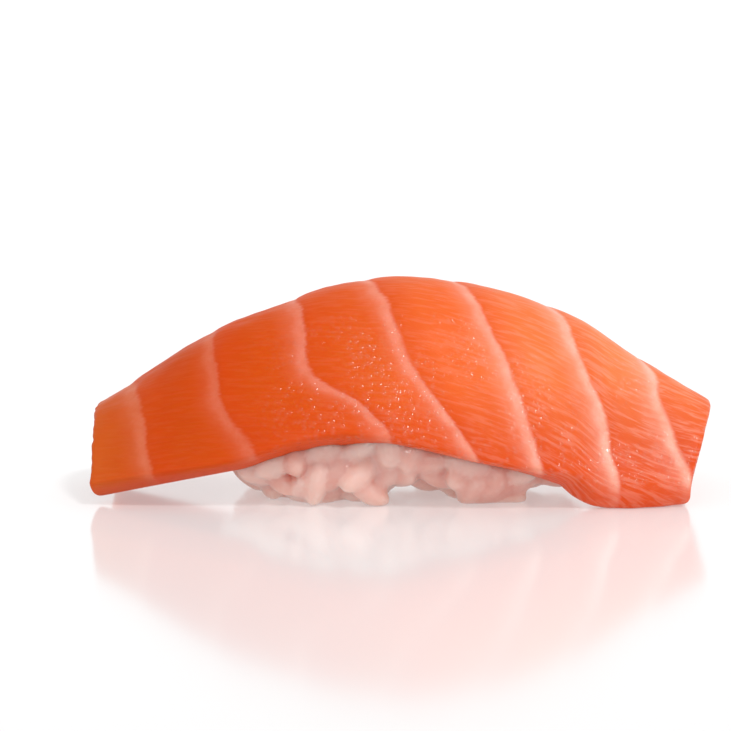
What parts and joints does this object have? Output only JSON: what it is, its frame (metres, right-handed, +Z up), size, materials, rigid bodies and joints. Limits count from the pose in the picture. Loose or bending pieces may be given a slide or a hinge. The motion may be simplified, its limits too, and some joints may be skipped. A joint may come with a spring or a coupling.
{
  "type": "salmon nigiri",
  "caption": "Pressed finger of rice under a thick draped slice of raw salmon with pale fat lines, its ends hanging past the rice.",
  "frame": {"origin": "on the surface that it stands on, under the middle of its bounding box", "axes": "+X along the nigiri towards the end with the splayed front corner, +Y to the back, +Z up; the shown side faces -Y"},
  "size_m": [0.0836, 0.031, 0.0293],
  "materials": {
    "salmon_slice": "moist raw fish flesh, glossy, orange with pale fat lines",
    "rice": "moist cooked short-grain rice, satin, milky white"
  },
  "bodies": {
    "root": {"salmon_slice": "salmon_slice", "rice": "rice"}
  },
  "joints": []
}
